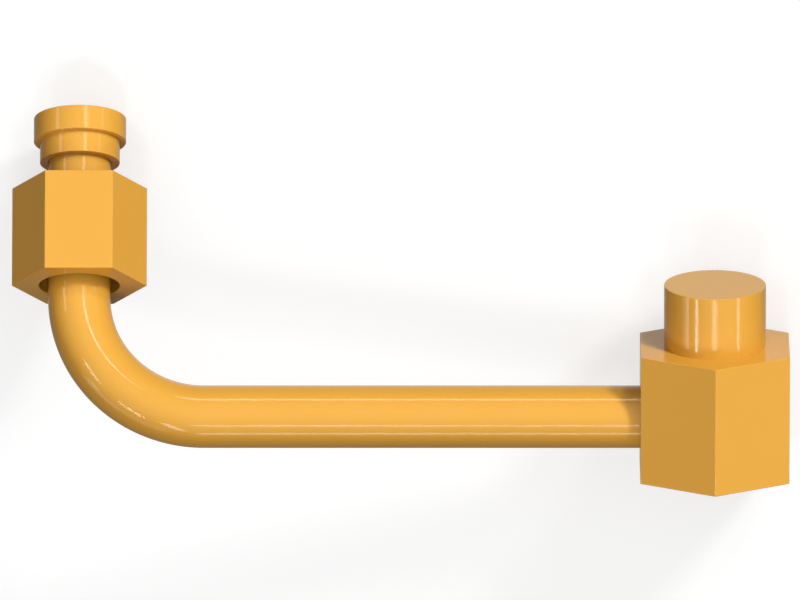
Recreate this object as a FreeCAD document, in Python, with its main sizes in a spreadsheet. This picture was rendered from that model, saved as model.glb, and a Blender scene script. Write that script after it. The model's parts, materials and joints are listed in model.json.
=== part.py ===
import FreeCAD, Part
import enum
import math
import os
import Sketcher

# Rigid hydraulic line, in millimetres. A bent steel tube ends in a face-seal sleeve with a loose nut
# at one end, and in a hexagon port block with a plain spigot at the other.
# It lies as it comes to rest: on one long edge of the block and on the rim of the sleeve.

SIZES = {
    # Tube: one 90 degree bend between the leg that carries the sleeve and the run to the block
    "tube_od": 12.7,
    "tube_bore": 9.4,
    "bend_radius": 25.4,
    "leg_to_block": 129.0,
    "leg_height": 63.65,
    "leg_twist": 35.0,
    # Sleeve brazed over the end of the leg
    "head_od": 18.8,
    "head_length": 5.0,
    "shank_od": 16.25,
    "shank_length": 4.5,
    "face_lip": 3.0,
    "braze_gap": 0.05,
    # Nut that slides on the leg, 13/16-16 inside
    "nut_flats": 23.8,
    "nut_length": 20.9,
    "nut_back_wall": 5.5,
    "nut_setback": 27.9,
    "nut_shank_gap": 0.08,
    "nut_head_gap": 0.07,
    "nut_thread_major": 20.64,
    "nut_relief_width": 2.5,
    "nut_relief_depth": 0.15,
    "nut_mouth_chamfer": 0.3,
    # Hexagon block with the spigot on top and a tapped port, 3/4-16, in its underside
    "block_flats": 30.2,
    "block_height": 26.8,
    "block_drop": 11.6,
    "spigot_od": 20.64,
    "spigot_length": 12.8,
    "socket_depth": 4.0,
    "port_minor": 17.7,
    "port_depth": 17.5,
    "port_seat_od": 20.6,
    "port_seat_depth": 2.5,
    "port_seat_angle": 15.0,
    "port_point_angle": 118.0,
}


class Spot(enum.IntEnum):
    """Points of a line or circle in a sketch."""

    START = 1
    END = 2
    CENTRE = 3


class Datum(enum.IntEnum):
    """A sketch's own axes, which cross at its origin."""

    FLAT_AXIS = -1
    UPRIGHT_AXIS = -2


ORIGIN = (Datum.FLAT_AXIS, Spot.START)
REST_TRIES = 60

doc = FreeCAD.newDocument("hydraulic_tube")


def make_sheet():
    """Spreadsheet with one named cell for each driving dimension."""
    sheet = doc.addObject("Spreadsheet::Sheet", "Sizes")
    for row, (name, value) in enumerate(SIZES.items(), start=1):
        sheet.set(f"A{row}", name)
        sheet.set(f"B{row}", str(value))
        sheet.setAlias(f"B{row}", name)
    doc.recompute()
    return sheet


def new_body(label):
    body = doc.addObject("PartDesign::Body", label)
    body.Label = label
    return body


def new_sketch(body, name, role, height=None):
    """Sketch on one of the body's own origin planes, raised along the plane's normal by height."""
    plane = next(f for f in body.Origin.OriginFeatures if f.Role == role)
    sketch = body.newObject("Sketcher::SketchObject", name)
    sketch.AttachmentSupport = [(plane, "")]
    sketch.MapMode = "FlatFace"
    if height:
        sketch.setExpression("AttachmentOffset.Base.z", height)
    return sketch


def bind(sketch, kind, *where, to):
    """Adds a dimension to a sketch and ties it to an expression in the sheet's sizes."""
    index = sketch.addConstraint(Sketcher.Constraint(kind, *where, sheet_value(to)))
    sketch.setExpression(f"Constraints[{index}]", to)


def pin_point(sketch, line, x, z):
    """Holds a line's start at x and z, which are expressions, or None for a point on that axis."""
    if x is None:
        sketch.addConstraint(Sketcher.Constraint("PointOnObject", line, Spot.START, Datum.UPRIGHT_AXIS))
    else:
        bind(sketch, "DistanceX", *ORIGIN, line, Spot.START, to=x)
    if z is None:
        sketch.addConstraint(Sketcher.Constraint("PointOnObject", line, Spot.START, Datum.FLAT_AXIS))
    else:
        bind(sketch, "DistanceY", *ORIGIN, line, Spot.START, to=z)


def half_section(body, name, corners):
    """Closed outline beside the body's upright axis, with expressions in the sizes for each corner."""
    sketch = new_sketch(body, name, "XZ_Plane")
    values = [[float(sheet_value(text)) for text in corner] for corner in corners]
    points = [FreeCAD.Vector(x, z, 0) for x, z in values]
    count = len(points)
    for k, point in enumerate(points):
        sketch.addGeometry(Part.LineSegment(point, points[(k + 1) % count]))
    for k, (x, z) in enumerate(corners):
        sketch.addConstraint(Sketcher.Constraint("Coincident", k, Spot.END, (k + 1) % count, Spot.START))
        pin_point(sketch, k, x, z)
    return sketch


def sheet_value(text):
    """Value of an expression in the sizes, with None for zero."""
    return sheet.evalExpression(text) if text else 0.0


def circle_sketch(body, name, role, diameter, height=None, up=None):
    """Circle of the given diameter, centred up along the sketch's own upright axis."""
    sketch = new_sketch(body, name, role, height)
    centre = FreeCAD.Vector(0, sheet_value(up), 0)
    sketch.addGeometry(Part.Circle(centre, FreeCAD.Vector(0, 0, 1), sheet_value(diameter) / 2))
    sketch.addConstraint(Sketcher.Constraint("PointOnObject", 0, Spot.CENTRE, Datum.UPRIGHT_AXIS))
    if up:
        bind(sketch, "DistanceY", *ORIGIN, 0, Spot.CENTRE, to=up)
    else:
        sketch.addConstraint(Sketcher.Constraint("PointOnObject", 0, Spot.CENTRE, Datum.FLAT_AXIS))
    bind(sketch, "Diameter", 0, to=diameter)
    return sketch


def hexagon_sketch(body, name, flats, corner_axis):
    """Regular hexagon about the body's axis, with two opposite corners on the sketch's named axis."""
    sketch = new_sketch(body, name, "XY_Plane")
    radius = sheet_value(flats) / math.sqrt(3)
    first = math.pi / 2 if corner_axis == Datum.UPRIGHT_AXIS else 0.0
    angles = [first + k * math.pi / 3 for k in range(6)]
    corners = [FreeCAD.Vector(radius * math.cos(a), radius * math.sin(a), 0) for a in angles]
    for k in range(6):
        sketch.addGeometry(Part.LineSegment(corners[k], corners[(k + 1) % 6]))
    rim = sketch.addGeometry(Part.Circle(FreeCAD.Vector(), FreeCAD.Vector(0, 0, 1), radius), True)
    sketch.addConstraint(Sketcher.Constraint("Coincident", rim, Spot.CENTRE, *ORIGIN))
    for k in range(6):
        sketch.addConstraint(Sketcher.Constraint("Coincident", k, Spot.END, (k + 1) % 6, Spot.START))
        sketch.addConstraint(Sketcher.Constraint("PointOnObject", k, Spot.START, rim))
    for k in range(1, 6):
        sketch.addConstraint(Sketcher.Constraint("Equal", 0, k))
    sketch.addConstraint(Sketcher.Constraint("PointOnObject", 0, Spot.START, corner_axis))
    bind(sketch, "Diameter", rim, to=f"2 * {flats} / sqrt(3)")
    return sketch


def pad(body, name, sketch, length):
    feature = body.newObject("PartDesign::Pad", name)
    feature.Profile = sketch
    feature.setExpression("Length", length)
    return feature


def pocket(body, name, sketch, length):
    """Cut that runs along the sketch's normal."""
    feature = body.newObject("PartDesign::Pocket", name)
    feature.Profile = sketch
    feature.Reversed = True
    feature.setExpression("Length", length)
    return feature


def turned(body, kind, name, sketch):
    """Full turn of a half section about the body's upright axis."""
    feature = body.newObject(f"PartDesign::{kind}", name)
    feature.Profile = sketch
    feature.ReferenceAxis = (sketch, ["V_Axis"])
    feature.Angle = 360
    return feature


def make_bent_tube():
    """Hollow tube swept round its bend. X is the run and Z is the leg, which cross at the origin."""
    body = new_body("bent_tube")
    leg_end = "Sizes.leg_height - Sizes.face_lip"
    run_end = "Sizes.leg_to_block - Sizes.block_flats / 2 + Sizes.socket_depth"
    bend = sheet_value("Sizes.bend_radius")

    path = new_sketch(body, "TubeCentreline", "XZ_Plane")
    top = FreeCAD.Vector(0, sheet_value(leg_end), 0)
    bend_top = FreeCAD.Vector(0, bend, 0)
    bend_foot = FreeCAD.Vector(bend, 0, 0)
    far = FreeCAD.Vector(sheet_value(run_end), 0, 0)
    bend_circle = Part.Circle(FreeCAD.Vector(bend, bend, 0), FreeCAD.Vector(0, 0, 1), bend)
    leg, arc, run = path.addGeometry([
        Part.LineSegment(top, bend_top),
        Part.ArcOfCircle(bend_circle, math.pi, 1.5 * math.pi),
        Part.LineSegment(bend_foot, far),
    ])
    path.addConstraint([
        Sketcher.Constraint("Tangent", leg, Spot.END, arc, Spot.START),
        Sketcher.Constraint("Tangent", arc, Spot.END, run, Spot.START),
        Sketcher.Constraint("PointOnObject", leg, Spot.START, Datum.UPRIGHT_AXIS),
        Sketcher.Constraint("PointOnObject", leg, Spot.END, Datum.UPRIGHT_AXIS),
        Sketcher.Constraint("PointOnObject", run, Spot.START, Datum.FLAT_AXIS),
        Sketcher.Constraint("PointOnObject", run, Spot.END, Datum.FLAT_AXIS),
    ])
    bind(path, "Radius", arc, to="Sizes.bend_radius")
    bind(path, "DistanceY", *ORIGIN, leg, Spot.START, to=leg_end)
    bind(path, "DistanceX", *ORIGIN, run, Spot.END, to=run_end)

    ring = circle_sketch(body, "TubeSection", "XY_Plane", "Sizes.tube_od", height=leg_end)
    bore_radius = sheet_value("Sizes.tube_bore") / 2
    bore = ring.addGeometry(Part.Circle(FreeCAD.Vector(), FreeCAD.Vector(0, 0, 1), bore_radius))
    ring.addConstraint(Sketcher.Constraint("Coincident", bore, Spot.CENTRE, 0, Spot.CENTRE))
    bind(ring, "Diameter", bore, to="Sizes.tube_bore")

    sweep = body.newObject("PartDesign::AdditivePipe", "TubeSweep")
    sweep.Profile = ring
    sweep.Spine = (path, [])
    return body


def make_braze_sleeve():
    """Turned sleeve, up from the foot of its shank. The tube stops against the lip behind the face."""
    body = new_body("braze_sleeve")
    socket = "Sizes.tube_od / 2 + Sizes.braze_gap"
    step = "Sizes.shank_length"
    face = "Sizes.shank_length + Sizes.head_length"
    stop = "Sizes.shank_length + Sizes.head_length - Sizes.face_lip"
    section = half_section(body, "SleeveSection", [
        (socket, None),
        ("Sizes.shank_od / 2", None),
        ("Sizes.shank_od / 2", step),
        ("Sizes.head_od / 2", step),
        ("Sizes.head_od / 2", face),
        ("Sizes.tube_bore / 2", face),
        ("Sizes.tube_bore / 2", stop),
        (socket, stop),
    ])
    turned(body, "Revolution", "SleeveTurning", section)
    return body


def make_tube_nut():
    """Hexagon nut, up from its back face. Its shoulder seats on the back of the sleeve's head."""
    body = new_body("tube_nut")
    flats = hexagon_sketch(body, "NutFlats", "Sizes.nut_flats", Datum.FLAT_AXIS)
    pad(body, "NutHexagon", flats, "Sizes.nut_length")
    back = "Sizes.shank_od / 2 + Sizes.nut_shank_gap"
    crest = "Sizes.head_od / 2 + Sizes.nut_head_gap"
    relief = "Sizes.nut_thread_major / 2 + Sizes.nut_relief_depth"
    mouth = "Sizes.nut_thread_major / 2 + Sizes.nut_mouth_chamfer"
    shoulder = "Sizes.nut_back_wall"
    relief_top = "Sizes.nut_back_wall + Sizes.nut_relief_width"
    front = "Sizes.nut_length"
    bore = half_section(body, "NutBoreSection", [
        (None, None),
        (back, None),
        (back, shoulder),
        (relief, shoulder),
        (relief, relief_top),
        (crest, f"{relief_top} + {relief} - ({crest})"),
        (crest, f"{front} - ({mouth}) + {crest}"),
        (mouth, front),
        (None, front),
    ])
    turned(body, "Groove", "NutBore", bore)
    return body


def make_port_block():
    """Hexagon bar block, up from its underside, with the tube's socket in its flat towards -X."""
    body = new_body("port_block")
    flats = hexagon_sketch(body, "BlockFlats", "Sizes.block_flats", Datum.UPRIGHT_AXIS)
    pad(body, "BlockHexagon", flats, "Sizes.block_height")
    top = "Sizes.block_height"
    spigot = circle_sketch(body, "SpigotCircle", "XY_Plane", "Sizes.spigot_od", height=top)
    pad(body, "Spigot", spigot, "Sizes.spigot_length")

    flat = "-Sizes.block_flats / 2"
    drop = "Sizes.block_drop"
    hole = "Sizes.tube_od + 2 * Sizes.braze_gap"
    socket = circle_sketch(body, "SocketCircle", "YZ_Plane", hole, height=flat, up=drop)
    pocket(body, "TubeSocket", socket, "Sizes.socket_depth")
    passage = circle_sketch(body, "PassageCircle", "YZ_Plane", "Sizes.tube_bore", height=flat, up=drop)
    pocket(body, "CrossPassage", passage, "Sizes.block_flats / 2")

    seat_foot = "Sizes.port_seat_od / 2 - Sizes.port_seat_depth * tan(Sizes.port_seat_angle)"
    lead_top = f"Sizes.port_seat_depth + {seat_foot} - Sizes.port_minor / 2"
    point = "Sizes.port_depth + Sizes.port_minor / 2 / tan(Sizes.port_point_angle / 2)"
    port = half_section(body, "PortSection", [
        (None, None),
        ("Sizes.port_seat_od / 2", None),
        (seat_foot, "Sizes.port_seat_depth"),
        ("Sizes.port_minor / 2", lead_top),
        ("Sizes.port_minor / 2", "Sizes.port_depth"),
        (None, point),
    ])
    turned(body, "Groove", "Port", port)
    return body


def rest_tilt():
    """Slope of the run, in degrees, with the block's edge and the sleeve's rim on one floor."""
    corner = sheet.block_flats / math.sqrt(3)
    lean = math.sin(math.radians(sheet.leg_twist))
    tilt = 0.0
    for _ in range(REST_TRIES):
        dip = lean * math.cos(tilt)
        rim = sheet.leg_height * dip + sheet.head_od / 2 * math.sqrt(1 - dip * dip)
        tilt = math.asin((rim - corner * math.cos(tilt)) / sheet.leg_to_block)
    return math.degrees(tilt)


def place(pieces):
    """Turns the assembled line on to the floor and centres it on the origin."""
    x_axis, y_axis = FreeCAD.Vector(1, 0, 0), FreeCAD.Vector(0, 1, 0)
    lying = FreeCAD.Rotation(y_axis, rest_tilt()) * FreeCAD.Rotation(x_axis, -90)
    leg_turn = FreeCAD.Rotation(x_axis, -sheet.leg_twist)
    leg = leg_turn.multVec(FreeCAD.Vector(0, 0, 1))
    shank_foot = sheet.leg_height - sheet.head_length - sheet.shank_length
    seats = {
        "bent_tube": (FreeCAD.Vector(), leg_turn),
        "braze_sleeve": (leg * shank_foot, leg_turn),
        "tube_nut": (leg * sheet.nut_setback, leg_turn),
        "port_block": (FreeCAD.Vector(sheet.leg_to_block, 0, -sheet.block_drop), FreeCAD.Rotation()),
    }
    for body in pieces:
        spot, turn = seats[body.Label]
        body.Placement = FreeCAD.Placement(lying.multVec(spot), lying * turn)
    doc.recompute()
    box = Part.makeCompound([body.Shape for body in pieces]).optimalBoundingBox(False, False)
    to_floor = FreeCAD.Vector(-box.Center.x, -box.Center.y, -box.ZMin)
    for body in pieces:
        body.Placement = FreeCAD.Placement(to_floor, FreeCAD.Rotation()) * body.Placement
    doc.recompute()


def check(pieces):
    """Stops on any failed object, or any piece that isn't one valid solid."""
    for item in doc.Objects:
        if "Invalid" in item.State or "Error" in item.State:
            raise RuntimeError(f"{item.Label} failed: {item.State}")
    for body in pieces:
        if body.Shape.isNull() or not body.Shape.isValid() or len(body.Shape.Solids) != 1:
            raise RuntimeError(f"{body.Label} is not one valid solid")
        print(body.Label, round(body.Shape.Volume, 3), body.Shape.BoundBox)


sheet = make_sheet()
pieces = [make_bent_tube(), make_braze_sleeve(), make_tube_nut(), make_port_block()]
doc.recompute()
place(pieces)
check(pieces)
os.makedirs("parts", exist_ok=True)
for body in pieces:
    body.Shape.exportStep(f"parts/{body.Label}.step")
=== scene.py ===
import json
import math

import bmesh
import bpy
from mathutils import Matrix, Vector


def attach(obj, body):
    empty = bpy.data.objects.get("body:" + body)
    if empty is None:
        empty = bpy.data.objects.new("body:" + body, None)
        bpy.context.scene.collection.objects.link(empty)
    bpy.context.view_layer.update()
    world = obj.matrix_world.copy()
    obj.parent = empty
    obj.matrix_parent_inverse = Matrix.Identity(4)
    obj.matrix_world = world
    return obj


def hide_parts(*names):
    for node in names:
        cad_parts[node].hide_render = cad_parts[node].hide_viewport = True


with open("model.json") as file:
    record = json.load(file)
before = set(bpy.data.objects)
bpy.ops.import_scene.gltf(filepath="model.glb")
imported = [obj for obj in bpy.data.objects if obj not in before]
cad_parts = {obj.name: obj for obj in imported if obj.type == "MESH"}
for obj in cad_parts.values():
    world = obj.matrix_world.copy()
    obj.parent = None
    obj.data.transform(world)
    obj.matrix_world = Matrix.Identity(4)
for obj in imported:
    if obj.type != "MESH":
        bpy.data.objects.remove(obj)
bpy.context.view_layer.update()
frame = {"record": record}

# Hydraulic line: a bent tube, with a face-seal sleeve and a loose nut at one end and a port block at
# the other. Sizes are in metres.
TUBE_OD = 0.0127
TUBE_BORE = 0.0094
BEND_RADIUS = 0.0254
LEG_TO_BLOCK = 0.129
LEG_HEIGHT = 0.06365

HEAD_OD = 0.0188
HEAD_LENGTH = 0.005
SHANK_OD = 0.01625
SHANK_LENGTH = 0.0045
FACE_LIP = 0.003
BRAZE_GAP = 0.00005

NUT_FLATS = 0.0238
NUT_LENGTH = 0.0209
NUT_BACK_WALL = 0.0055
NUT_SETBACK = 0.0279
NUT_BACK_BORE = 0.01641
NUT_THREAD_MINOR = 0.01894
NUT_THREAD_MAJOR = 0.02064
NUT_RELIEF_OD = 0.02094
NUT_RELIEF_WIDTH = 0.0025
NUT_MOUTH_OD = 0.02124

BLOCK_FLATS = 0.0302
BLOCK_HEIGHT = 0.0268
BLOCK_DROP = 0.0116
SPIGOT_OD = 0.02064
SPIGOT_LENGTH = 0.0128
SOCKET_DEPTH = 0.004
PORT_SEAT_OD = 0.0206
PORT_SEAT_DEPTH = 0.0025
PORT_SEAT_ANGLE = math.radians(15)
PORT_THREAD_MINOR = 0.0177
PORT_THREAD_MAJOR = 0.01905
PORT_DEPTH = 0.0175
PORT_POINT_ANGLE = math.radians(118)
PORT_RUNOUT = 0.0024

# Both threads have 16 turns to the inch
INCH = 0.0254
PITCH = INCH / 16

# Rounding of the outer edges, as a coat of paint leaves it
HEX_CORNER_ROUND = 0.0002
EDGE_ROUND = 0.00014
ROUND_STEPS = 4

# The columns of a hexagon piece follow the steps along its outline
HEX_SIDES = 6
HEX_TURN = 2 * math.pi / HEX_SIDES
STEPS_PER_FLAT = 22
STEPS_PER_CORNER = 4
TURNED_STEPS = 128
BEND_STEPS = 48

SHARP_ANGLE = math.radians(32)
WELD = 1e-6

# Frame of the line: the leg points to the sleeve, the run points to the block
MOUNTS = {mount["name"]: mount for mount in frame["record"]["mounts"]}
LEG = Vector(MOUNTS["sealing_face"]["axis"]).normalized()
SPIGOT = Vector(MOUNTS["spigot"]["axis"]).normalized()
RUN = LEG.cross(SPIGOT).normalized()
FRONT = RUN.cross(SPIGOT)
UNDERSIDE = Vector(MOUNTS["spigot"]["pos_m"]) - SPIGOT * (BLOCK_HEIGHT + SPIGOT_LENGTH / 2)
CORNER = UNDERSIDE + SPIGOT * BLOCK_DROP - RUN * LEG_TO_BLOCK


def local_frame(origin, x_axis, z_axis):
    """Matrix that takes a piece's own frame to the line's frame."""
    columns = (x_axis, z_axis.cross(x_axis), z_axis)
    turn = Matrix(columns).transposed().to_4x4()
    return Matrix.Translation(origin) @ turn


def skin(name, loops, closed):
    """Mesh over a stack of loops of equal length.

    Each loop ends where it starts, or one turn further along a helix.
    """
    mesh_loops = loops + loops[:1] if closed else loops
    work = bmesh.new()
    rows = [[work.verts.new(point) for point in loop] for loop in mesh_loops]
    for row, following in zip(rows, rows[1:]):
        for k in range(len(row) - 1):
            work.faces.new((row[k], row[k + 1], following[k + 1], following[k]))
    bmesh.ops.remove_doubles(work, verts=work.verts, dist=WELD)
    bmesh.ops.recalc_face_normals(work, faces=work.faces)
    mesh = bpy.data.meshes.new(name)
    work.to_mesh(mesh)
    work.free()
    return mesh


def new_object(name, mesh):
    piece = bpy.data.objects.new(name, mesh)
    bpy.context.scene.collection.objects.link(piece)
    return piece


def even_angles(count):
    return [2 * math.pi * k / count for k in range(count + 1)]


def circle(radius, height, angles):
    return [Vector((radius * math.cos(a), radius * math.sin(a), height)) for a in angles]


def rounded(points):
    """Outline (radius, height) with a small round on each corner that is marked True."""
    path = []
    for k, (x, z, is_round) in enumerate(points):
        if not is_round:
            path.append((x, z))
            continue
        corner = Vector((x, z))
        before = (Vector(points[k - 1][:2]) - corner).normalized()
        after = (Vector(points[(k + 1) % len(points)][:2]) - corner).normalized()
        half = before.angle(after) / 2
        reach = EDGE_ROUND / math.tan(half)
        centre = corner + (before + after).normalized() * (EDGE_ROUND / math.sin(half))
        first = (corner + before * reach - centre).normalized()
        last = (corner + after * reach - centre).normalized()
        for step in range(ROUND_STEPS + 1):
            path.append(tuple(centre + first.slerp(last, step / ROUND_STEPS) * EDGE_ROUND))
    return path


def turned_loops(points, angles):
    return [circle(x, z, angles) for x, z in rounded(points)]


def hexagon(flats, corner_round, height, first_corner):
    """Hexagon loop with rounded corners. It starts in the middle of a corner's round."""
    inner = (flats / 2 - corner_round) / math.cos(HEX_TURN / 2)

    def on_corner(middle, spoke):
        """Point on the round of the corner in one direction, where its surface faces another."""
        centre = Vector((inner * math.cos(middle), inner * math.sin(middle), height))
        return centre + Vector((math.cos(spoke), math.sin(spoke), 0)) * corner_round

    points = []
    for k in range(HEX_SIDES + 1):
        middle = first_corner + k * HEX_TURN
        for step in range(STEPS_PER_CORNER + 1):
            points.append(on_corner(middle, middle + HEX_TURN * (step / STEPS_PER_CORNER - 0.5)))
        if k < HEX_SIDES:
            start = points[-1]
            goal = on_corner(middle + HEX_TURN, middle + HEX_TURN / 2)
            points += [start.lerp(goal, s / STEPS_PER_FLAT) for s in range(1, STEPS_PER_FLAT)]
    half_corner = STEPS_PER_CORNER // 2
    return points[half_corner : len(points) - half_corner]


def column_angles(loop):
    """Angle of each point of a loop about the axis, growing all the way round."""
    angles = [math.atan2(point.y, point.x) for point in loop]
    for k in range(1, len(angles)):
        while angles[k] < angles[k - 1] - math.pi:
            angles[k] += 2 * math.pi
    return angles


def hexagon_side(flats, height, first_corner):
    """Loops up the outside of a hexagon piece, with rounded edges at its two ends."""
    low = []
    high = []
    for step in range(ROUND_STEPS + 1):
        turn = math.pi / 2 * step / ROUND_STEPS
        inset = EDGE_ROUND * (1 - math.sin(turn))
        rise = EDGE_ROUND * (1 - math.cos(turn))
        shape = (flats - 2 * inset, HEX_CORNER_ROUND - inset)
        low.append(hexagon(*shape, rise, first_corner))
        high.append(hexagon(*shape, height - rise, first_corner))
    return low + high[::-1]


# Phases of a thread's turn: root, flank, crest, flank. At full depth the flanks stand at 60 degrees.
ROOT_HALF = 1 / 16
CREST_START = 3 / 8
FLANK_STEPS = 3
CREST_STEPS = 2


def thread_phases():
    """Phase and fullness of each row in one turn. Fullness is 1 at the root and 0 at the crest."""
    rows = [(-ROOT_HALF, 1.0)]
    for step in range(FLANK_STEPS + 1):
        share = step / FLANK_STEPS
        rows.append((ROOT_HALF + (CREST_START - ROOT_HALF) * share, 1 - share))
    for step in range(1, CREST_STEPS):
        rows.append((CREST_START + (1 - 2 * CREST_START) * step / CREST_STEPS, 0.0))
    for step in range(FLANK_STEPS):
        share = step / FLANK_STEPS
        rows.append((1 - CREST_START + (CREST_START - ROOT_HALF) * share, share))
    return rows


def thread_loops(low, high, minor, major, envelope, fade, angles):
    """Rows that follow a right-hand helix from low to high and are cut off level at both ends."""
    turns = math.ceil((high - low) / PITCH) + 1
    loops = []
    for turn in range(-1, turns):
        for phase, fullness in thread_phases():
            loop = []
            for angle in angles:
                advance = (angle - angles[0]) / (2 * math.pi)
                height = min(max(low + PITCH * (turn + phase + advance), low), high)
                depth = (major - minor) / 2 * fullness * fade(height)
                radius = max(minor / 2 + depth, envelope(height))
                loop.append(Vector((radius * math.cos(angle), radius * math.sin(angle), height)))
            loops.append(loop)
    return loops


def dress(piece, matrix, node, body):
    """Moves a mesh from its own frame to the line's, shades it and lets it stand for its CAD node."""
    mesh = piece.data
    mesh.transform(matrix)
    mesh.shade_smooth()
    mesh.set_sharp_from_angle(angle=SHARP_ANGLE)
    weigh = piece.modifiers.new("even_shading", "WEIGHTED_NORMAL")
    weigh.keep_sharp = True
    mesh.materials.append(ENAMEL)
    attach(piece, body)
    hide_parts(node)


def make_tube():
    """Hollow tube from the sleeve, round its bend, into the block's socket."""
    bend_centre = CORNER + (LEG + RUN) * BEND_RADIUS
    across = LEG.cross(RUN)
    stations = [(CORNER + LEG * (LEG_HEIGHT - FACE_LIP), RUN)]
    for k in range(BEND_STEPS + 1):
        angle = math.pi / 2 * k / BEND_STEPS
        inward = RUN * math.cos(angle) + LEG * math.sin(angle)
        stations.append((bend_centre - inward * BEND_RADIUS, inward))
    stations.append((CORNER + RUN * (LEG_TO_BLOCK - BLOCK_FLATS / 2 + SOCKET_DEPTH), LEG))
    angles = even_angles(TURNED_STEPS)

    def ring(station, radius):
        centre, inward = station
        return [centre + (inward * math.cos(a) + across * math.sin(a)) * radius for a in angles]

    outside = [ring(station, TUBE_OD / 2) for station in stations]
    inside = [ring(station, TUBE_BORE / 2) for station in reversed(stations)]
    piece = new_object("line_tube", skin("line_tube", outside + inside, closed=True))
    dress(piece, Matrix.Identity(4), "bent_tube", "line")


def make_sleeve():
    """Turned sleeve brazed over the end of the leg."""
    socket = TUBE_OD / 2 + BRAZE_GAP
    face = SHANK_LENGTH + HEAD_LENGTH
    stop = face - FACE_LIP
    outline = [
        (socket, 0, True),
        (SHANK_OD / 2, 0, True),
        (SHANK_OD / 2, SHANK_LENGTH, False),
        (HEAD_OD / 2, SHANK_LENGTH, True),
        (HEAD_OD / 2, face, True),
        (TUBE_BORE / 2, face, True),
        (TUBE_BORE / 2, stop, False),
        (socket, stop, False),
    ]
    loops = turned_loops(outline, even_angles(TURNED_STEPS))
    piece = new_object("face_seal_sleeve", skin("face_seal_sleeve", loops, closed=True))
    foot = CORNER + LEG * (LEG_HEIGHT - face)
    dress(piece, local_frame(foot, RUN, LEG), "braze_sleeve", "line")


def make_nut():
    """Hexagon nut with its thread, the relief behind it and the shoulder that seats on the head."""
    side = hexagon_side(NUT_FLATS, NUT_LENGTH, first_corner=0)
    angles = column_angles(side[0])
    relief_top = NUT_BACK_WALL + NUT_RELIEF_WIDTH
    crest = NUT_THREAD_MINOR / 2
    relief = NUT_RELIEF_OD / 2
    mouth = NUT_MOUTH_OD / 2

    def envelope(height):
        return max(relief - (height - relief_top), mouth - (NUT_LENGTH - height), crest)

    def fade(_):
        return 1

    span = (relief_top, NUT_LENGTH)
    thread = thread_loops(*span, NUT_THREAD_MINOR, NUT_THREAD_MAJOR, envelope, fade, angles)
    back = [
        (relief, relief_top, False),
        (relief, NUT_BACK_WALL, False),
        (NUT_BACK_BORE / 2, NUT_BACK_WALL, True),
        (NUT_BACK_BORE / 2, 0, True),
        (NUT_FLATS / 2, 0, False),
    ]
    bore = turned_loops(back, angles)[:-1]
    loops = side + thread[::-1] + bore
    piece = new_object("hexagon_nut", skin("hexagon_nut", loops, closed=True))
    seat = local_frame(CORNER + LEG * NUT_SETBACK, RUN, LEG)
    dress(piece, seat, "tube_nut", "nut")


def port_loops(angles):
    """Loops up the O-ring port in the block's underside, from its seat to the drill's point."""
    seat_foot = PORT_SEAT_OD / 2 - PORT_SEAT_DEPTH * math.tan(PORT_SEAT_ANGLE)
    crest = PORT_THREAD_MINOR / 2
    seat = [
        (BLOCK_FLATS / 2, 0, False),
        (PORT_SEAT_OD / 2, 0, True),
        (seat_foot, PORT_SEAT_DEPTH, False),
    ]

    def envelope(height):
        return max(seat_foot - (height - PORT_SEAT_DEPTH), crest)

    def fade(height):
        return min(max((PORT_DEPTH - height) / PORT_RUNOUT, 0), 1)

    span = (PORT_SEAT_DEPTH, PORT_DEPTH)
    thread = thread_loops(*span, PORT_THREAD_MINOR, PORT_THREAD_MAJOR, envelope, fade, angles)
    point = circle(0, PORT_DEPTH + crest / math.tan(PORT_POINT_ANGLE / 2), angles)
    return turned_loops(seat, angles)[1:] + thread + [point]


def cut_socket(piece):
    """Cuts the tube's socket and the cross passage behind it into the block."""
    flat = -BLOCK_FLATS / 2
    outline = [
        (0, 2 * flat),
        (TUBE_OD / 2 + BRAZE_GAP, 2 * flat),
        (TUBE_OD / 2 + BRAZE_GAP, flat + SOCKET_DEPTH),
        (TUBE_BORE / 2, flat + SOCKET_DEPTH),
        (TUBE_BORE / 2, 0),
        (0, 0),
    ]
    angles = even_angles(TURNED_STEPS)
    loops = [circle(x, z, angles) for x, z in outline]
    cutter = new_object("socket_cutter", skin("socket_cutter", loops, closed=False))
    on_tube = local_frame(Vector((0, 0, BLOCK_DROP)), Vector((0, 1, 0)), Vector((1, 0, 0)))
    cutter.data.transform(on_tube)
    cut = piece.modifiers.new("socket", "BOOLEAN")
    cut.operation = "DIFFERENCE"
    cut.solver = "EXACT"
    cut.object = cutter
    graph = bpy.context.evaluated_depsgraph_get()
    whole = piece.data
    piece.data = bpy.data.meshes.new_from_object(piece.evaluated_get(graph))
    piece.modifiers.clear()
    bpy.data.meshes.remove(whole)
    bpy.data.objects.remove(cutter)


def make_block():
    """Hexagon block with the spigot on top, the port underneath and the tube's socket in one flat."""
    side = hexagon_side(BLOCK_FLATS, BLOCK_HEIGHT, first_corner=math.pi / 2)
    angles = column_angles(side[0])
    top = BLOCK_HEIGHT + SPIGOT_LENGTH
    spigot = [
        (0, top, False),
        (SPIGOT_OD / 2, top, True),
        (SPIGOT_OD / 2, BLOCK_HEIGHT, False),
    ]
    loops = turned_loops(spigot, angles) + side[::-1] + port_loops(angles)
    piece = new_object("hexagon_block", skin("hexagon_block", loops, closed=False))
    cut_socket(piece)
    dress(piece, local_frame(UNDERSIDE, RUN, SPIGOT), "port_block", "line")


# Enamel. Clouds of shade and grains of orange peel are counted to the metre.
CLOUDS = 60
PEEL_GRAINS = 3200
PEEL_DEPTH = 0.00005
DEEP_YELLOW = (0.895, 0.436, 0.050, 1)
PALE_YELLOW = (0.925, 0.458, 0.056, 1)
LEAST_ROUGHNESS = 0.04
MOST_ROUGHNESS = 0.07


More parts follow.
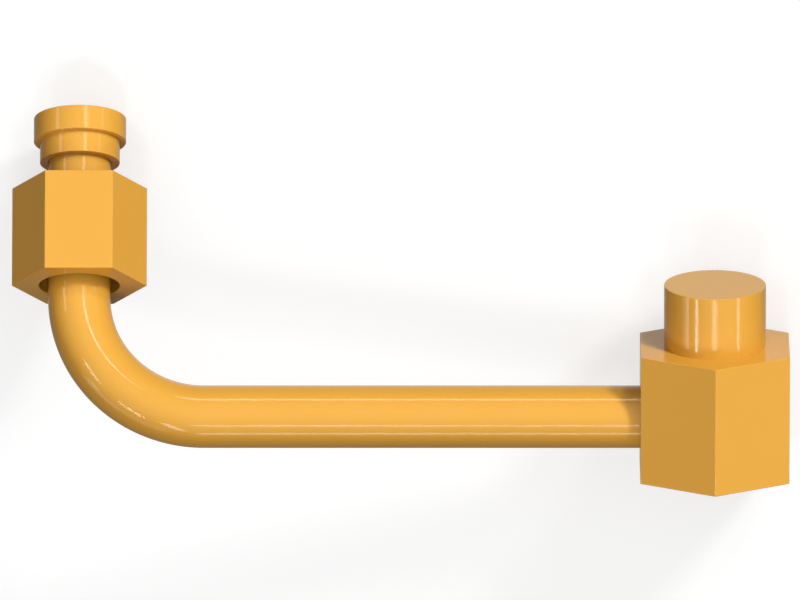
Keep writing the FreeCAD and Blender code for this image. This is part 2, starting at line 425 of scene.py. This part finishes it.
def make_enamel():
    """Glossy yellow-orange enamel with a faint orange peel and slight changes of shade and gloss."""
    material = bpy.data.materials.new("yellow_enamel")
    material.use_nodes = True
    nodes = material.node_tree.nodes
    links = material.node_tree.links
    paint = nodes["Principled BSDF"]
    place = nodes.new("ShaderNodeTexCoord")

    cloud = nodes.new("ShaderNodeTexNoise")
    cloud.inputs["Scale"].default_value = CLOUDS
    cloud.inputs["Detail"].default_value = 3
    links.new(place.outputs["Object"], cloud.inputs["Vector"])

    shade = nodes.new("ShaderNodeMix")
    shade.data_type = "RGBA"
    shade.inputs["A"].default_value = DEEP_YELLOW
    shade.inputs["B"].default_value = PALE_YELLOW
    links.new(cloud.outputs["Fac"], shade.inputs["Factor"])
    links.new(shade.outputs["Result"], paint.inputs["Base Color"])

    gloss = nodes.new("ShaderNodeMapRange")
    gloss.inputs["To Min"].default_value = LEAST_ROUGHNESS
    gloss.inputs["To Max"].default_value = MOST_ROUGHNESS
    links.new(cloud.outputs["Fac"], gloss.inputs["Value"])
    links.new(gloss.outputs["Result"], paint.inputs["Roughness"])

    peel = nodes.new("ShaderNodeTexNoise")
    peel.inputs["Scale"].default_value = PEEL_GRAINS
    peel.inputs["Detail"].default_value = 2
    links.new(place.outputs["Object"], peel.inputs["Vector"])
    bump = nodes.new("ShaderNodeBump")
    bump.inputs["Strength"].default_value = 0.25
    bump.inputs["Distance"].default_value = PEEL_DEPTH
    links.new(peel.outputs["Fac"], bump.inputs["Height"])
    links.new(bump.outputs["Normal"], paint.inputs["Normal"])

    paint.inputs["IOR"].default_value = 1.5
    return material


FLOOR_SIDE = 6.0
FLOOR_GREY = (0.5, 0.5, 0.5, 1)
FLOOR_GLOW = 0.62


def make_floor():
    """Plain pale floor under the line. The soft light passes it, so that only the camera sees it."""
    mesh = bpy.data.meshes.new("floor")
    half = FLOOR_SIDE / 2
    corners = [(-half, -half, 0), (half, -half, 0), (half, half, 0), (-half, half, 0)]
    mesh.from_pydata(corners, [], [(0, 1, 2, 3)])
    material = bpy.data.materials.new("pale_floor")
    material.use_nodes = True
    matte = material.node_tree.nodes["Principled BSDF"]
    matte.inputs["Base Color"].default_value = FLOOR_GREY
    matte.inputs["Specular IOR Level"].default_value = 0.0
    matte.inputs["Emission Color"].default_value = (1, 1, 1, 1)
    matte.inputs["Emission Strength"].default_value = FLOOR_GLOW
    mesh.materials.append(material)
    floor = new_object("floor", mesh)
    floor.visible_diffuse = False
    floor.visible_glossy = False
    floor.visible_shadow = False


# The photograph looks at the block's front corner from a little above its hexagon top
VIEW_RISE = math.radians(16.95)
VIEW_BACK = FRONT * math.cos(VIEW_RISE) + SPIGOT * math.sin(VIEW_RISE)
VIEW_UP = SPIGOT * math.cos(VIEW_RISE) - FRONT * math.sin(VIEW_RISE)
VIEW_WIDTH = 0.1623
MIDDLE_ALONG_RUN = 0.06519
MIDDLE_ABOVE_RUN = 0.02367
TARGET = CORNER + RUN * MIDDLE_ALONG_RUN + VIEW_UP * MIDDLE_ABOVE_RUN
SENSOR_MM = 36
LENS_MM = 1000


def make_camera():
    """Camera at the photograph's angle, so far off that its view is nearly a parallel one."""
    data = bpy.data.cameras.new("camera")
    data.sensor_width = SENSOR_MM
    data.lens = LENS_MM
    data.clip_end = 100
    camera = bpy.data.objects.new("camera", data)
    bpy.context.scene.collection.objects.link(camera)
    distance = VIEW_WIDTH * LENS_MM / SENSOR_MM
    camera.matrix_world = local_frame(TARGET + VIEW_BACK * distance, RUN, VIEW_BACK)
    bpy.context.scene.camera = camera


def from_view(right, up, back):
    """Direction given in the photograph's own axes."""
    return (RUN * right + VIEW_UP * up + VIEW_BACK * back).normalized()


# Soft lights that give shape but no highlight: name, direction to it (right, up, back), strength.
# The strengths here and in make_world were fitted to the photograph's shading, then rounded.
SOFTBOX_SPREAD = math.radians(10)
SOFTBOXES = (
    ("key_above", (0.33, 0.72, 0.61), 0.65),
    ("key_right", (0.50, 0.50, 0.70), 1.4),
    ("fill_below", (0.00, -0.60, 0.80), 0.35),
    ("fill_left", (-0.35, -0.67, 0.66), 0.25),
)

# Long lights that show in the gloss alone. Each reaches between the directions that the two ends of
# its highlight mirror: name, stem, turn and around at both ends, width in degrees, glow.
STRIP_DISTANCE = 4.0
STRIPS = (
    ("leg_strip", LEG, (1, -10), (8, -10.5), 6, 3),
    ("bend_strip", LEG, (9, -10.5), (52, -19.5), 5, 8),
    ("left_strip", LEG, (31.5, 21), (41.5, 22.5), 4, 8),
    ("left_low_strip", LEG, (54, 25), (65, 26), 2.8, 14),
    ("low_left_strip", LEG, (73, 23), (81, 30), 4, 7),
    ("low_strip", LEG, (87, 33), (93, 33), 6, 4),
    ("outer_left_strip", LEG, (36, 38), (55.5, 38), 15, 1.0),
    ("outer_low_strip", LEG, (56, 38), (75, 37.5), 15, 0.6),
    ("middle_strip", LEG, (85, 17), (95, 17), 3.8, 5),
    ("upper_strip", LEG, (81, -33), (99, -33), 6, 4.5),
    ("leg_left_strip", LEG, (-2, 30), (9.5, 25.5), 7, 2.5),
    ("leg_right_strip", LEG, (-3, -29), (2, -29.5), 3, 3),
    ("block_right_strip", SPIGOT, (-3, -27), (3, -27), 2.6, 9),
    ("block_left_strip", SPIGOT, (3, 32.5), (-3, 32.5), 3, 4),
)


def mirrored(stem, turn, around):
    """Direction that a place on a round piece mirrors to the camera, from two angles in degrees.

    The piece's axis is the stem, turned as the bend turns the leg into the run. The place lies so far
    around the axis from the middle that the camera sees, to the left on the stem and below on the run.
    """
    turn, around = math.radians(turn), math.radians(around)
    axis = stem * math.cos(turn) - RUN * math.sin(turn)
    middle = (VIEW_BACK - axis * VIEW_BACK.dot(axis)).normalized()
    facing = middle * math.cos(around) + middle.cross(axis) * math.sin(around)
    return facing * (2 * facing.dot(VIEW_BACK)) - VIEW_BACK


def hang(name, light, towards, distance=0.0, along=None):
    """Hangs a light on the given side of the line, facing it, with its long side along a direction."""
    lamp = new_object(name, light)
    level = along if along else towards.orthogonal()
    level = (level - towards * level.dot(towards)).normalized()
    lamp.matrix_world = local_frame(TARGET + towards * distance, level, towards)
    return lamp


def softbox(name, direction, strength):
    """Large soft light, so far off that it lights every piece alike, and not mirrored by the gloss."""
    light = bpy.data.lights.new(name, "SUN")
    light.angle = SOFTBOX_SPREAD
    light.energy = strength
    lamp = hang(name, light, from_view(*direction))
    lamp.visible_glossy = False


def strip(name, stem, start, end, width, glow):
    """Long light that draws a bright line between two places on a round piece."""
    first, last = mirrored(stem, *start), mirrored(stem, *end)
    light = bpy.data.lights.new(name, "AREA")
    light.shape = "RECTANGLE"
    light.size = STRIP_DISTANCE * first.angle(last)
    light.size_y = STRIP_DISTANCE * math.radians(width)
    light.energy = glow * math.pi * light.size * light.size_y
    lamp = hang(name, light, (first + last).normalized(), STRIP_DISTANCE, along=last - first)
    lamp.visible_diffuse = False


def make_lights():
    for settings in SOFTBOXES:
        softbox(*settings)
    for settings in STRIPS:
        strip(*settings)


# The studio glows most from behind the camera and from behind and above the line
CAMERA_SIDE = (0.09, 0.00, 1.00)
FAR_SIDE = (0.00, 0.42, -0.90)


def make_world():
    """Pale studio round the line. What the gloss mirrors is more even than what lights the paint."""
    world = bpy.data.worlds.new("studio")
    world.use_nodes = True
    nodes = world.node_tree.nodes
    links = world.node_tree.links
    place = nodes.new("ShaderNodeTexCoord")
    rays = nodes.new("ShaderNodeLightPath")

    def compute(operation, source, value):
        """Result of a calculation with another node's output and a number."""
        step = nodes.new("ShaderNodeMath")
        step.operation = operation
        step.inputs[1].default_value = value
        links.new(source, step.inputs[0])
        return step.outputs["Value"]

    def glow(direction, focus, strength):
        """Brightness that is greatest towards one direction and none behind it."""
        facing = nodes.new("ShaderNodeVectorMath")
        facing.operation = "DOT_PRODUCT"
        facing.inputs[1].default_value = from_view(*direction)
        links.new(place.outputs["Generated"], facing.inputs[0])
        share = compute("POWER", compute("MAXIMUM", facing.outputs["Value"], 0), focus)
        return compute("MULTIPLY", share, strength)

    def dome(even, near_glow, far_glow):
        """Even brightness with two glows added to it."""
        both = nodes.new("ShaderNodeMath")
        both.operation = "ADD"
        links.new(compute("ADD", near_glow, even), both.inputs[0])
        links.new(far_glow, both.inputs[1])
        return both.outputs["Value"]

    def choose(ray, otherwise):
        """Leaves the brightness as it is, unless the light ray is of the named kind."""
        mix = nodes.new("ShaderNodeMix")
        links.new(rays.outputs[ray], mix.inputs["Factor"])
        links.new(otherwise, mix.inputs["A"])
        return mix

    near_glow = glow(CAMERA_SIDE, focus=2, strength=0.85)
    far_glow = glow(FAR_SIDE, focus=6, strength=0.9)
    lit = dome(0.04, near_glow, far_glow)
    near_gleam = glow(CAMERA_SIDE, focus=1, strength=0.7)
    far_gleam = glow(FAR_SIDE, focus=6, strength=0.55)
    gleam = dome(0.15, near_gleam, far_gleam)
    by_gloss = choose("Is Glossy Ray", lit)
    links.new(gleam, by_gloss.inputs["B"])
    seen = choose("Is Camera Ray", by_gloss.outputs["Result"])
    seen.inputs["B"].default_value = 1.0
    links.new(seen.outputs["Result"], nodes["Background"].inputs["Strength"])
    nodes["Background"].inputs["Color"].default_value = (1, 1, 1, 1)
    bpy.context.scene.world = world


scene = bpy.context.scene
scene.view_settings.view_transform = "Standard"
# Soft light bounces once between the pieces, because the photograph shows little of it
scene.cycles.diffuse_bounces = 1

ENAMEL = make_enamel()
make_tube()
make_sleeve()
make_nut()
make_block()
make_floor()
make_camera()
make_world()
make_lights()
